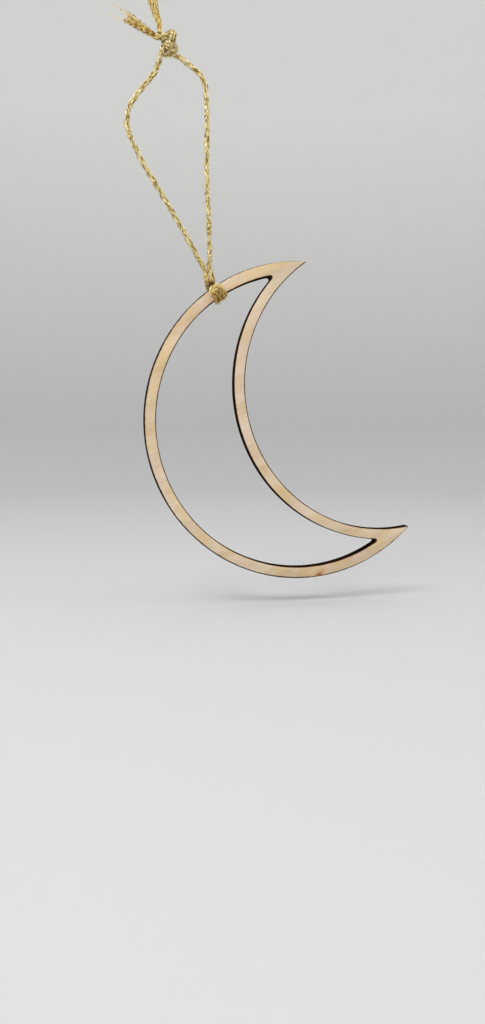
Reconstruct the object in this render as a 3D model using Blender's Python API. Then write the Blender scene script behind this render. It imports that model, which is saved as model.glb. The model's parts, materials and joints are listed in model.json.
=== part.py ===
# Hanging moon ornament: a crescent outline cut from thin three-ply birch sheet, hung in a lark's head
# hitch on a loop of gold cord, whose two ends are tied together in an overhand knot and left as tails.
# Metres, +Z up. The front of the moon faces -Y. The origin is where a twig or peg carries the loop,
# right under the knot, and the moon's centroid hangs plumb below it.

import bmesh
import bpy
from math import acos, asin, atan2, ceil, cos, pi, radians, sin, sqrt, tan
from mathutils import Matrix, Vector

MM = 0.001

# Moon: an outer circle, less a hollow circle beside it. The opening follows both at a band's width.
OUTER_RADIUS = 45.0 * MM
HOLLOW_RADIUS = 42.2 * MM
HOLLOW_OFFSET = 27.45 * MM
OUTER_BAND = 2.95 * MM
HOLLOW_BAND = 2.8 * MM
OPENING_CORNER_RADIUS = 0.6 * MM
VENEER_THICKNESS = 0.8 * MM
CORE_THICKNESS = 1.4 * MM
ARC_STEP = radians(2.0)

# Cord, and the gap that it keeps to the wood and to the next piece of cord
CORD_RADIUS = 0.75 * MM
CLEARANCE = 0.3 * MM
CORD_STEP = 3.0 * MM
LEAST_OWN_GAP = 0.4 * MM

# Lark's head: where it sits on the outer band, and how far its strands stand apart
HITCH_ANGLE = radians(79.0)
STRAND_SPACING = 2.8 * MM
EXIT_SPACING = 2.0 * MM
BEND_RISE = 1.9 * MM
BACK_BEND_RISE = 0.75 * MM
CROSSBAR_RISE = 0.35 * MM
EXIT_RUN = 2.3 * MM
EXIT_BEND_RADIUS = 1.2 * MM
CROSSBAR_BEND_RADIUS = 0.95 * MM
BEND_POINTS = 6

# Loop of cord, as (x, y, z) in millimetres: the hitch's exit, then each leg's route up to the knot
HITCH_EXIT = (-2.0, 0.0, -56.8)
LEFT_LEG_ROUTE = (
    (-4.0, 0.1, -51.4),
    (-5.8, 0.2, -45.6),
    (-7.6, 0.2, -40.3),
    (-9.4, 0.1, -35.3),
    (-11.1, 0.0, -30.6),
    (-12.8, -0.1, -25.6),
    (-13.9, -0.2, -21.9),
    (-14.7, -0.2, -18.7),
    (-14.9, -0.1, -15.6),
    (-14.2, 0.0, -12.7),
    (-12.7, 0.1, -10.1),
    (-10.6, 0.2, -7.9),
    (-7.2, 0.2, -5.2),
    (-4.6, 0.0, -3.2),
    (-2.7, -0.3, -0.6),
)
RIGHT_LEG_ROUTE = (
    (-0.3, -0.1, -51.6),
    (0.4, -0.2, -47.6),
    (1.4, -0.2, -42.8),
    (2.3, -0.1, -37.5),
    (3.3, 0.0, -32.3),
    (4.5, 0.1, -27.1),
    (5.7, 0.2, -22.0),
    (6.9, 0.2, -16.9),
    (7.8, 0.1, -12.0),
    (8.3, 0.0, -8.8),
    (7.9, 0.1, -5.9),
    (6.5, 0.2, -3.7),
    (4.8, 0.3, -1.9),
    (3.2, 0.4, -0.2),
)

# Overhand knot tied in both cords at once: an open trefoil, each strand half the pair's spacing off it
KNOT_CENTRE = (0.9, 0.0, 4.1)
KNOT_SIZE = 0.78 * MM
KNOT_DEPTH = 1.1 * MM
KNOT_PAIR_SPACING = 1.1 * MM
KNOT_STRAND_RADIUS = 0.72 * MM
KNOT_CORE_RADIUS = 1.7 * MM
KNOT_CUT = radians(40.0)
KNOT_POINTS = 40
KNOT_VOXEL = 0.18 * MM
KNOT_DETAIL = 0.35
LEFT_KNOT_ENTRY = ((-1.8, -0.5, 1.2), (-1.2, -0.5, 2.4))
RIGHT_KNOT_ENTRY = ((1.4, 0.5, 0.9), (0.1, 0.6, 0.9), (-0.8, 0.6, 1.6), (-0.7, 0.6, 2.6))
LEFT_KNOT_EXIT = ((-0.8, -0.5, 5.0), (-1.7, -0.5, 5.2), (-2.4, -0.4, 5.8))
RIGHT_KNOT_EXIT = ((-0.6, 0.5, 5.4), (-0.8, 0.5, 6.3), (-0.6, 0.4, 7.4))

# Tails: cut short above the knot, and frayed into a brush that is wider than the cord
LEFT_TAIL_ROUTE = ((-4.2, -0.2, 7.4), (-5.9, 0.0, 9.0), (-7.7, 0.1, 10.7), (-9.5, 0.2, 12.2))
RIGHT_TAIL_ROUTE = ((-0.5, 0.4, 9.6), (-0.7, 0.3, 12.4), (-0.8, 0.2, 15.2), (-0.6, 0.1, 18.0))
TAIL_STEP = 1.5 * MM
FRAYED_RADIUS = 1.25 * MM


def clear_scene():
    for obj in list(bpy.data.objects):
        bpy.data.objects.remove(obj, do_unlink=True)


def material(name, colour, roughness, metallic):
    made = bpy.data.materials.new(name)
    made.use_nodes = True
    shader = made.node_tree.nodes["Principled BSDF"]
    shader.inputs["Base Color"].default_value = (*colour, 1.0)
    shader.inputs["Roughness"].default_value = roughness
    shader.inputs["Metallic"].default_value = metallic
    made.diffuse_color = (*colour, 1.0)
    return made


def place(obj, surface):
    bpy.context.scene.collection.objects.link(obj)
    obj.data.materials.append(surface)
    return obj


# Moon outline, in the moon's own frame: the outer circle's centre is its origin, and the hollow
# circle's centre lies on +X, so the two tips point to +Z and -Z.


def arc(centre_x, radius, start, end):
    """Points from angle start to angle end on a circle whose centre is on the X axis."""
    steps = max(2, ceil(abs(end - start) / ARC_STEP))
    angles = [start + (end - start) * i / steps for i in range(steps + 1)]
    return [Vector((centre_x + radius * cos(a), 0.0, radius * sin(a))) for a in angles]


def upper_crossing(radius, hollow_radius):
    """Where the outer and the hollow circle cross above the X axis."""
    x = (radius**2 - hollow_radius**2 + HOLLOW_OFFSET**2) / (2 * HOLLOW_OFFSET)
    return Vector((x, 0.0, sqrt(radius**2 - x**2)))


def moon_outline():
    tip = upper_crossing(OUTER_RADIUS, HOLLOW_RADIUS)
    on_outer = atan2(tip.z, tip.x)
    on_hollow = atan2(tip.z, tip.x - HOLLOW_OFFSET)
    outer = arc(0.0, OUTER_RADIUS, on_outer, 2 * pi - on_outer)
    hollow = arc(HOLLOW_OFFSET, HOLLOW_RADIUS, 2 * pi - on_hollow, on_hollow)
    return outer + hollow[1:-1]


def opening_outline():
    """The opening, with a small round where its two arcs meet in each corner."""
    radius = OUTER_RADIUS - OUTER_BAND
    hollow_radius = HOLLOW_RADIUS + HOLLOW_BAND
    round_centre = upper_crossing(radius - OPENING_CORNER_RADIUS, hollow_radius + OPENING_CORNER_RADIUS)
    on_outer = atan2(round_centre.z, round_centre.x)
    on_hollow = atan2(round_centre.z, round_centre.x - HOLLOW_OFFSET)
    outer = arc(0.0, radius, on_outer, 2 * pi - on_outer)
    hollow = arc(HOLLOW_OFFSET, hollow_radius, 2 * pi - on_hollow, on_hollow)
    steps = 6
    turn = [on_hollow - pi + (on_outer + pi - on_hollow) * i / steps for i in range(1, steps)]
    upper = [round_centre + OPENING_CORNER_RADIUS * Vector((cos(a), 0.0, sin(a))) for a in turn]
    lower = [Vector((p.x, 0.0, -p.z)) for p in reversed(upper)]
    return outer + lower + hollow + upper


def area_and_centroid_x(outline):
    area = moment = 0.0
    for here, there in zip(outline, outline[1:] + outline[:1]):
        cross = here.x * there.z - there.x * here.z
        area += cross / 2
        moment += (here.x + there.x) * cross / 6
    return area, moment / area


def moon_centroid():
    area, centre = area_and_centroid_x(moon_outline())
    cut_area, cut_centre = area_and_centroid_x(opening_outline())
    return Vector(((area * centre - cut_area * cut_centre) / (area - cut_area), 0.0, 0.0))


def sheet(name, front, back, surface):
    """One ply: the moon's outline with its opening, from y = front to y = back."""
    bm = bmesh.new()
    rims = []
    for outline in (moon_outline(), opening_outline()):
        corners = [bm.verts.new((p.x, front, p.z)) for p in outline]
        rims += [bm.edges.new(pair) for pair in zip(corners, corners[1:] + corners[:1])]
    filled = bmesh.ops.triangle_fill(bm, use_beauty=True, edges=rims)
    faces = [f for f in filled["geom"] if isinstance(f, bmesh.types.BMFace)]
    grown = bmesh.ops.extrude_face_region(bm, geom=faces, use_keep_orig=True)
    moved = [v for v in grown["geom"] if isinstance(v, bmesh.types.BMVert)]
    bmesh.ops.translate(bm, verts=moved, vec=(0.0, back - front, 0.0))
    bmesh.ops.recalc_face_normals(bm, faces=bm.faces)
    mesh = bpy.data.meshes.new(name)
    bm.to_mesh(mesh)
    bm.free()
    mesh.shade_smooth()
    mesh.set_sharp_from_angle(angle=radians(30.0))
    return place(bpy.data.objects.new(name, mesh), surface)


# Hitch, in the moon's own frame. The outer band at HITCH_ANGLE has the hitch's own directions:
# along the band, outward from it, and +Y to its back.


def hitch_point(along, outward, back):
    out = Vector((-cos(HITCH_ANGLE), 0.0, sin(HITCH_ANGLE)))
    side = Vector((out.z, 0.0, -out.x))
    return out * (OUTER_RADIUS + outward) + side * along + Vector((0.0, back, 0.0))


def spin_axis():
    """The line that the moon turns about on its cord: from its centroid through the cord's last bend."""
    return (hitch_point(0.0, BEND_RISE, 0.0) - moon_centroid()).normalized()


def hitch_exit():
    return hitch_point(0.0, BEND_RISE, 0.0) + spin_axis() * EXIT_RUN


def exit_side():
    axis = spin_axis()
    return Vector((axis.z, 0.0, -axis.x))


def rounded(corners, radii):
    """A run of straight lines with each inner corner rounded by an arc of its own radius."""
    points = [corners[0]]
    for before, corner, after, radius in zip(corners, corners[1:], corners[2:], radii):
        back = (before - corner).normalized()
        ahead = (after - corner).normalized()
        half = back.angle(ahead) / 2
        centre = corner + (back + ahead).normalized() * (radius / sin(half))
        first = corner + back * (radius / tan(half)) - centre
        last = corner + ahead * (radius / tan(half)) - centre
        sweep = first.angle(last)
        for i in range(BEND_POINTS + 1):
            part = i / BEND_POINTS
            weights = sin((1 - part) * sweep) / sin(sweep), sin(part * sweep) / sin(sweep)
            points.append(centre + first * weights[0] + last * weights[1])
    return points + [corners[-1]]


def hitch_path():
    """Down behind the moon, round the opening's edge, up its front, across as the bight, and back."""
    stand_off = CORD_RADIUS + CLEARANCE
    face = CORE_THICKNESS / 2 + VENEER_THICKNESS + stand_off
    under = -OUTER_BAND - stand_off
    bend = hitch_point(0.0, BEND_RISE, 0.0)
    half = []
    for hand in (1, -1):
        along = hand * STRAND_SPACING / 2
        half.append(
            [
                hitch_exit() + exit_side() * hand * EXIT_SPACING / 2,
                bend + exit_side() * hand * EXIT_SPACING / 2,
                hitch_point(along, BACK_BEND_RISE, face),
                hitch_point(along, under, face),
                hitch_point(along, under, -face),
                hitch_point(along, CROSSBAR_RISE, -face),
            ]
        )
    radii = [EXIT_BEND_RADIUS, stand_off, stand_off, stand_off, CROSSBAR_BEND_RADIUS]
    return rounded(half[0] + half[1][::-1], radii + radii[::-1])


def least_own_gap(path, radius):
    """The narrowest space between two turns of a tube, read between points that are not neighbours."""
    run = [0.0]
    for here, there in zip(path, path[1:]):
        run.append(run[-1] + (there - here).length)
    apart = pi * 2 * radius
    gaps = [
        (path[i] - path[j]).length - 2 * radius
        for i in range(len(path))
        for j in range(i)
        if run[i] - run[j] > apart
    ]
    return min(gaps)


# Cord


def smooth(route, step):
    """Points about a step apart on a smooth curve through the route's points."""
    ends = [route[0] * 2 - route[1]] + route + [route[-1] * 2 - route[-2]]
    points = [route[0]]
    for before, start, end, after in zip(ends, ends[1:], ends[2:], ends[3:]):
        count = max(1, round((end - start).length / step))
        for i in range(1, count + 1):
            t = i / count
            points.append(
                (
                    start * 2
                    + (end - before) * t
                    + (before * 2 - start * 5 + end * 4 - after) * t**2
                    + (start * 3 - before - end * 3 + after) * t**3
                )
                / 2
            )
    return points


def tube(name, path, radii, origin, sides, surface):
    """A cord along the path, with a radius for each point, whose object stands at origin."""
    curve = bpy.data.curves.new(name, "CURVE")
    curve.dimensions = "3D"
    curve.bevel_depth = 1.0
    curve.bevel_resolution = sides
    curve.use_fill_caps = True
    spline = curve.splines.new("POLY")
    spline.points.add(len(path) - 1)
    for point, position, radius in zip(spline.points, path, radii):
        point.co = (*(position - origin), 1.0)
        point.radius = radius
    obj = place(bpy.data.objects.new(name, curve), surface)
    obj.location = origin
    return obj


def millimetres(points):
    return [Vector(p) * MM for p in points]


def leg(name, hand, route, foot, axis, surface):
    """From a gap above the hitch's end face, straight for one diameter, then along its route."""
    start = foot + Vector((axis.z, 0.0, -axis.x)) * hand * EXIT_SPACING / 2 + axis * CLEARANCE
    lead = [start, start + axis * CORD_RADIUS * 2]
    path = smooth(lead + millimetres(route), CORD_STEP)
    tube(name, path, [CORD_RADIUS] * len(path), Vector((0.0, 0.0, 0.0)), 2, surface)
    return path


def step_on(path, gap):
    """The point a gap past the end of a path, straight on."""
    return path[-1] + (path[-1] - path[-2]).normalized() * gap


# Knot


def trefoil(angle, off):
    """A point of the open overhand knot, moved off its middle line square to the line's direction."""
    across = Vector((cos(angle) - 2 * cos(2 * angle), 0.0, -sin(angle) - 2 * sin(2 * angle)))
    middle = across * KNOT_SIZE + Vector((0.0, -KNOT_DEPTH * sin(3 * angle), 0.0))
    ahead = Vector((4 * sin(2 * angle) - sin(angle), 0.0, -cos(angle) - 4 * cos(2 * angle))) * KNOT_SIZE
    ahead.y = -3 * KNOT_DEPTH * cos(3 * angle)
    ahead.normalize()
    outward = Vector((0.0, 1.0, 0.0)) + across.normalized()
    outward -= ahead * outward.dot(ahead)
    return Vector(KNOT_CENTRE) * MM + middle + outward.normalized() * off


def knot_strand(leg_path, entry, leave, off):
    """On from a leg's end, straight at first, round the open knot, and out towards its tail."""
    start = step_on(leg_path, CLEARANCE)
    lead = [start, step_on(leg_path, CLEARANCE + CORD_RADIUS)]
    angles = [pi + KNOT_CUT + (2 * pi - 2 * KNOT_CUT) * i / KNOT_POINTS for i in range(KNOT_POINTS + 1)]
    turns = [trefoil(a, off) for a in angles]
    route = lead + millimetres(entry) + turns + millimetres(leave)
    return smooth(route, CORD_STEP / 4)


def knot(name, strands, surface):
    """Both strands drawn tight on a core of packed fibre, as one lump of cord."""
    bm = bmesh.new()
    size = Matrix.Diagonal((1.0, 1.0, 1.2, 1.0))
    place_core = Matrix.Translation(Vector(KNOT_CENTRE) * MM) @ size
    bmesh.ops.create_icosphere(bm, subdivisions=3, radius=KNOT_CORE_RADIUS, matrix=place_core)
    for index, path in enumerate(strands):
        guide = tube(f"{name}_guide_{index}", path, [KNOT_STRAND_RADIUS] * len(path), Vector(), 2, surface)
        bpy.context.view_layer.update()
        turned = guide.evaluated_get(bpy.context.evaluated_depsgraph_get()).to_mesh()
        bm.from_mesh(turned)
        bpy.data.objects.remove(guide, do_unlink=True)
    mesh = bpy.data.meshes.new(name)
    bm.to_mesh(mesh)
    bm.free()
    obj = place(bpy.data.objects.new(name, mesh), surface)
    fuse = obj.modifiers.new("fuse", "REMESH")
    fuse.mode = "VOXEL"
    fuse.voxel_size = KNOT_VOXEL
    fuse.use_smooth_shade = True
    thin = obj.modifiers.new("thin", "DECIMATE")
    thin.ratio = KNOT_DETAIL
    return obj


def tail(name, strand, route, surface):
    """From a gap past its strand of the knot, widening steadily into its frayed end."""
    start = step_on(strand, CLEARANCE)
    path = smooth([start] + millimetres(route), TAIL_STEP)
    last = len(path) - 1
    radii = [KNOT_STRAND_RADIUS + (FRAYED_RADIUS - KNOT_STRAND_RADIUS) * (i / last) for i in range(last + 1)]
    tube(name, path, radii, Vector(), 2, surface)


def hang(pieces, origin, tilt, centre):
    """Stand each piece's object on its joint's axis, turned with the moon."""
    for obj in pieces:
        obj.rotation_euler = (0.0, tilt, 0.0)
        obj.location = centre + Matrix.Rotation(tilt, 3, "Y") @ origin


def main():
    clear_scene()
    birch = material("birch_veneer", (0.69, 0.53, 0.37), 0.6, 0.0)
    core_wood = material("poplar_core", (0.10, 0.06, 0.035), 0.75, 0.0)
    gold_cord = material("gold_cord", (0.66, 0.49, 0.18), 0.35, 0.8)

    outer_face = CORE_THICKNESS / 2 + VENEER_THICKNESS
    inner_face = CORE_THICKNESS / 2
    plies = [
        sheet("front_veneer", -outer_face, -inner_face, birch),
        sheet("core_ply", -inner_face, inner_face, core_wood),
        sheet("back_veneer", inner_face, outer_face, birch),
    ]

    # The tilt that puts the centroid straight below the origin, with the hitch's exit on the cord
    foot = Vector(HITCH_EXIT) * MM
    drop = moon_centroid() - hitch_exit()
    tilt = atan2(drop.x, -drop.z) + asin(foot.x / drop.length)
    turn = Matrix.Rotation(tilt, 3, "Y")
    centre = foot - turn @ hitch_exit()
    hang(plies, Vector(), tilt, centre)

    wound = hitch_path()
    hitch = tube("lark_head_hitch", wound, [CORD_RADIUS] * len(wound), hitch_exit(), 1, gold_cord)
    hang([hitch], hitch_exit(), tilt, centre)
    gap = least_own_gap(wound, CORD_RADIUS)
    print(f"least gap of the hitch to itself: {gap / MM:.2f} mm, over {LEAST_OWN_GAP / MM:.1f} mm")

    axis = turn @ spin_axis()
    left = leg("left_leg", -1, LEFT_LEG_ROUTE, foot, axis, gold_cord)
    right = leg("right_leg", 1, RIGHT_LEG_ROUTE, foot, axis, gold_cord)

    left_strand = knot_strand(left, LEFT_KNOT_ENTRY, LEFT_KNOT_EXIT, -KNOT_PAIR_SPACING / 2)
    right_strand = knot_strand(right, RIGHT_KNOT_ENTRY, RIGHT_KNOT_EXIT, KNOT_PAIR_SPACING / 2)
    knot("overhand_knot", [left_strand, right_strand], gold_cord)
    tail("left_tail", left_strand, LEFT_TAIL_ROUTE, gold_cord)
    tail("right_tail", right_strand, RIGHT_TAIL_ROUTE, gold_cord)

    for label, spot in (("moon centre", centre), ("hitch exit", foot), ("spin axis", axis * 1000 * MM)):
        print(label, [round(v, 6) for v in spot])
    print("centroid", [round(v, 6) for v in centre + turn @ moon_centroid()], "tilt", round(tilt * 180 / pi, 3))


main()
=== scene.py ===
import json
from math import atan2, cos, pi, radians, sin, sqrt, tan
from random import Random

import bpy
import numpy as np
from mathutils import Matrix, Vector


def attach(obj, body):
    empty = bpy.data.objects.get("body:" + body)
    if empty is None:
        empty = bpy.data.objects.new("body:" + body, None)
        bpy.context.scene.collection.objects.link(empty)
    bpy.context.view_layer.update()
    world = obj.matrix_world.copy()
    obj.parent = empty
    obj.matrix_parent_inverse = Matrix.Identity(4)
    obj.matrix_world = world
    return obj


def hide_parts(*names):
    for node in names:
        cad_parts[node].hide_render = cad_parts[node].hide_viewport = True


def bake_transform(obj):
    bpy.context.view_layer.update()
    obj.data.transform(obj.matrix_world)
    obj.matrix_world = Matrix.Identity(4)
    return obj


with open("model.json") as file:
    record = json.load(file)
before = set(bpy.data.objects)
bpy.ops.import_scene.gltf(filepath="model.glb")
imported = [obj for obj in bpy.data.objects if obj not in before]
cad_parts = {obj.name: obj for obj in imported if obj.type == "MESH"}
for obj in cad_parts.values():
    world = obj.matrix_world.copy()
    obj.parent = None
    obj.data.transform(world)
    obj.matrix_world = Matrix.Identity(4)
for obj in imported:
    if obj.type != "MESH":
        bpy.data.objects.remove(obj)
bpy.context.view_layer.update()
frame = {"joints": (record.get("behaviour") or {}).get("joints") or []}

# Moon ornament: a crescent outline cut from thin birch plywood, hitched onto a loop of gold cord.
# Metres, +Z up, front towards -Y. Lengths in the dictionaries and routes are millimetres.
bpy.ops.object.select_all(action="DESELECT")
mm = 0.001
joints = {joint["name"]: joint for joint in frame["joints"]}
print("Frame loaded")


# Camera at the photograph's angle, turned a little about its own axis
view = {
    "place": (-45.55, -219.0, -93.49), "turn": (82.012, 12.405, -11.689), "lens": 27.42, "sensor": 36.0,
    "nearest": 10.0,  # closer than this nothing is drawn
}

bpy.ops.object.camera_add(
    location=[v * mm for v in view["place"]],
    rotation=[radians(a) for a in view["turn"]],
)
camera = bpy.context.object
camera.name = "photoCamera"
camera.data.lens = view["lens"]
camera.data.sensor_width = view["sensor"]
camera.data.clip_start = view["nearest"] * mm
bpy.context.scene.camera = camera
bpy.context.scene.view_settings.view_transform = "Standard"
print("Camera placed")


noiseMean = 0.5  # the level that Blender's noise varies about


def hexColour(code):
    # sRGB hex to the linear colour that a shader reads
    parts = [int(code[i : i + 2], 16) / 255 for i in (0, 2, 4)]
    return (*[p / 12.92 if p <= 0.04045 else ((p + 0.055) / 1.055) ** 2.4 for p in parts], 1.0)


def addNode(tree, kind, values=None, links=None, **settings):
    # A node with its settings, its socket values and the sockets that it is fed from
    node = tree.nodes.new(kind)
    for key, value in settings.items():
        setattr(node, key, value)
    for socket, value in (values or {}).items():
        node.inputs[socket].default_value = value
    for socket, source in (links or {}).items():
        tree.links.new(source.outputs[0] if hasattr(source, "outputs") else source, node.inputs[socket])
    return node


def setRamp(ramp, stops):
    # Stops are (position, hex colour)
    elements = ramp.color_ramp.elements
    while len(elements) < len(stops):
        elements.new(0.5)
    for element, (position, code) in zip(elements, stops):
        element.position = position
        element.color = hexColour(code)


def newMaterial(name):
    made = bpy.data.materials.new(name)
    made.use_nodes = True
    tree = made.node_tree
    return made, tree, tree.nodes["Principled BSDF"]


# Metallised film yarn: flat gold film spun round a core, so that it glints strand by strand. A strand's
# tone picks its colour, from dull shade to glossy bright, and flecks vary it along the way. That spread is
# partly the film's own random tone, and partly painted glints and painted reflections of dark surroundings
film = {
    "shade": "8F6E2C", "body": "E8D28C", "bright": "FFF6D0", "shadeAt": 0.2, "bodyAt": 0.45, "brightAt": 0.78,
    "metallic": 0.6, "roughness": 0.36, "duller": 0.12, "glossier": 0.08, "specular": 0.3,
    "fleckSize": 0.6, "fleckContrast": 0.9,
}


def goldFilm(name, colours):
    made, tree, shader = newMaterial(name)
    tone = addNode(tree, "ShaderNodeAttribute", attribute_name="tone")
    place = addNode(tree, "ShaderNodeTexCoord")
    fleck = addNode(
        tree, "ShaderNodeTexNoise", {"Scale": 1 / (colours["fleckSize"] * mm), "Detail": 2.0},
        {"Vector": place.outputs["Object"]},
    )
    spread = addNode(tree, "ShaderNodeMath", {1: noiseMean}, {0: fleck}, operation="SUBTRACT")
    mixed = addNode(
        tree, "ShaderNodeMath", {1: colours["fleckContrast"]}, {0: spread, 2: tone.outputs["Fac"]},
        operation="MULTIPLY_ADD",
    )
    ramp = addNode(tree, "ShaderNodeValToRGB", links={0: mixed})
    setRamp(ramp, [(colours[stop + "At"], colours[stop]) for stop in ("shade", "body", "bright")])
    dull = colours["roughness"] + colours["duller"]
    glossy = colours["roughness"] - colours["glossier"]
    rough = addNode(tree, "ShaderNodeMapRange", {"To Min": dull, "To Max": glossy}, {"Value": mixed})
    tree.links.new(ramp.outputs["Color"], shader.inputs["Base Color"])
    tree.links.new(rough.outputs["Result"], shader.inputs["Roughness"])
    shader.inputs["Metallic"].default_value = colours["metallic"]
    shader.inputs["Specular IOR Level"].default_value = colours["specular"]
    return made


goldYarn = goldFilm("goldMetallisedYarn", film)
# The hitch's own copy of the film, warmer and with a browner shade colour: painted bounce light and painted
# shade between the wound strands
woundYarnPaintedBounce = goldFilm(  # strands side by side light each other, which makes the hitch warmer
    "woundGoldYarnPaintedBounce", {**film, "shade": "925E1C", "body": "F6D57C", "bright": "FFF4BC", "fleckContrast": 1.1},
)


# Cord: one length from the left tail's end, through the knot, down the left leg, round the moon's
# outer band, up the right leg and through the knot again to the right tail's end
moonCentre = Vector(joints["band_slide"]["pos_m"])
hitchExit = Vector(joints["moon_spin"]["pos_m"])
spinAxis = Vector(joints["moon_spin"]["axis"])

# The moon's sheet: an outer circle less a hollow circle beside it, with an opening inside its bands
sheet = {
    "outerRadius": 45.0, "hollowRadius": 42.2, "hollowOffset": 27.45, "outerBand": 2.95, "hollowBand": 2.8,
    "cornerRadius": 0.6, "veneer": 0.8, "core": 1.4, "tilt": -10.512,
}
moonTilt = radians(sheet["tilt"])
faceDepth = sheet["core"] / 2 + sheet["veneer"]

cord = {
    "diameter": 1.5, "lay": 9.0, "plies": 3, "plyOffset": 0.36, "strandsPerPly": 6, "strandOffset": 0.26,
    "strandLay": 6.0, "strandRadius": 0.135, "strandSides": 6, "step": 0.15,
    "outWander": 0.05, "outWaves": (2.0, 9.0), "twistWander": 0.35, "twistWaves": (6.0, 25.0),
    "strandWander": 0.45, "strandWaves": (3.0, 10.0), "tone": 0.5, "toneSpread": 0.1, "toneWander": 0.2,
    "toneWaves": (1.2, 5.0),
}

leftLegRoute = [
    (-4.0, 0.1, -51.4), (-5.8, 0.2, -45.6), (-7.6, 0.2, -40.3), (-9.4, 0.1, -35.3), (-11.1, 0.0, -30.6),
    (-12.8, -0.1, -25.6), (-13.9, -0.2, -21.9), (-14.7, -0.2, -18.7), (-14.9, -0.1, -15.6),
    (-14.2, 0.0, -12.7), (-12.7, 0.1, -10.1), (-10.6, 0.2, -7.9), (-7.2, 0.2, -5.2), (-4.6, 0.0, -3.2),
    (-2.7, -0.3, -0.6),
]
rightLegRoute = [
    (-0.3, -0.1, -51.6), (0.4, -0.2, -47.6), (1.4, -0.2, -42.8), (2.3, -0.1, -37.5), (3.3, 0.0, -32.3),
    (4.5, 0.1, -27.1), (5.7, 0.2, -22.0), (6.9, 0.2, -16.9), (7.8, 0.1, -12.0), (8.3, 0.0, -8.8),
    (7.9, 0.1, -5.9), (6.5, 0.2, -3.7), (4.8, 0.3, -1.9), (3.2, 0.4, -0.2),
]
leftTailRoute = [(-4.2, -0.2, 7.4), (-5.9, 0.0, 9.0), (-7.7, 0.1, 10.7), (-9.5, 0.2, 12.2)]
rightTailRoute = [(-0.5, 0.4, 9.6), (-0.7, 0.3, 12.4), (-0.8, 0.2, 15.2), (-0.6, 0.1, 18.0)]

# "angle" is in degrees round the outer circle, and "standOff" is from the wood to the cord's middle line
# The last two set how strong the painted highlight on the crossbar and the painted shade on the wraps are,
# and how far inside the band, in millimetres, the painted shade starts
hitch = {
    "angle": 79.0, "frontSpacing": 2.1, "backSpacing": 1.7, "exitSpacing": 1.5, "bendRise": 1.9,
    "backBendRise": 0.75, "crossbarRise": -0.3, "frontShift": -0.3, "exitBend": 1.2, "crossbarBend": 0.7,
    "standOff": 0.66, "bendPoints": 8, "widen": 1.4, "backWiden": 1.1, "flatten": 0.82, "ramp": 2.0,
    "frontStart": 1.0, "paintedLightDepth": 0.22, "paintedShadeStart": 0.2,
}
knot = {
    "centre": (0.9, 0.0, 4.1), "size": 0.78, "depth": 1.1, "pairSpacing": 1.1, "cut": 40.0, "points": 60,
    "leftEntry": [(-1.8, -0.5, 1.2), (-1.2, -0.5, 2.4)],
    "rightEntry": [(1.4, 0.5, 0.9), (0.1, 0.6, 0.9), (-0.8, 0.6, 1.6), (-0.7, 0.6, 2.6)],
    "leftExit": [(-0.8, -0.5, 5.0), (-1.7, -0.5, 5.2), (-2.4, -0.4, 5.8)],
    "rightExit": [(-0.6, 0.5, 5.4), (-0.8, 0.5, 6.3), (-0.6, 0.4, 7.4)],
    "tighten": 0.9,
}
footLength = 6.0


def metres(route):
    return [Vector(point) * mm for point in route]


def smoothRoute(route, step):
    # Points about a step apart on a smooth curve through the route's points
    ends = [route[0] * 2 - route[1]] + route + [route[-1] * 2 - route[-2]]
    points = [route[0]]
    for before, start, end, after in zip(ends, ends[1:], ends[2:], ends[3:]):
        count = max(1, round((end - start).length / step))
        for i in range(1, count + 1):
            t = i / count
            squared = (before * 2 - start * 5 + end * 4 - after) * t**2
            cubed = (start * 3 - before - end * 3 + after) * t**3
            points.append((start * 2 + (end - before) * t + squared + cubed) / 2)
    return points


def roundCorners(corners, radii):
    # A run of straight lines with each inner corner rounded by an arc of its own radius
    points = [corners[0]]
    for before, corner, after, radius in zip(corners, corners[1:], corners[2:], radii):
        back = (before - corner).normalized()
        ahead = (after - corner).normalized()
        half = back.angle(ahead) / 2
        centre = corner + (back + ahead).normalized() * (radius / sin(half))
        first = corner + back * (radius / tan(half)) - centre
        last = corner + ahead * (radius / tan(half)) - centre
        sweep = first.angle(last)
        for i in range(hitch["bendPoints"] + 1):
            part = i / hitch["bendPoints"]
            points.append(centre + (first * sin((1 - part) * sweep) + last * sin(part * sweep)) / sin(sweep))
    return points + [corners[-1]]


def onBand(along, outward, back):
    # A place on the outer band where the hitch sits: along the band, outward from its edge, and backward
    angle = radians(hitch["angle"])
    out = Vector((-cos(angle), 0.0, sin(angle)))
    side = Vector((out.z, 0.0, -out.x))
    local = out * (sheet["outerRadius"] + outward) + side * along + Vector((0.0, back, 0.0))
    return moonCentre + Matrix.Rotation(moonTilt, 3, "Y") @ local * mm


def hitchCorners(hand):
    # Down behind the moon, round the opening's edge, and up its front to the crossbar
    face = faceDepth + hitch["standOff"]
    under = -sheet["outerBand"] - hitch["standOff"]
    along = hand * hitch["backSpacing"] / 2
    frontAlong = hand * hitch["frontSpacing"] / 2 + hitch["frontShift"]
    side = Vector((spinAxis.z, 0.0, -spinAxis.x)) * hand * hitch["exitSpacing"] / 2 * mm
    return [
        hitchExit + side,
        onBand(0.0, hitch["bendRise"], 0.0) + side,
        onBand(along, hitch["backBendRise"], face),
        onBand(along, under, face),
        onBand(frontAlong, under, -face),
        onBand(frontAlong, hitch["crossbarRise"], -face),
    ]


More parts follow.
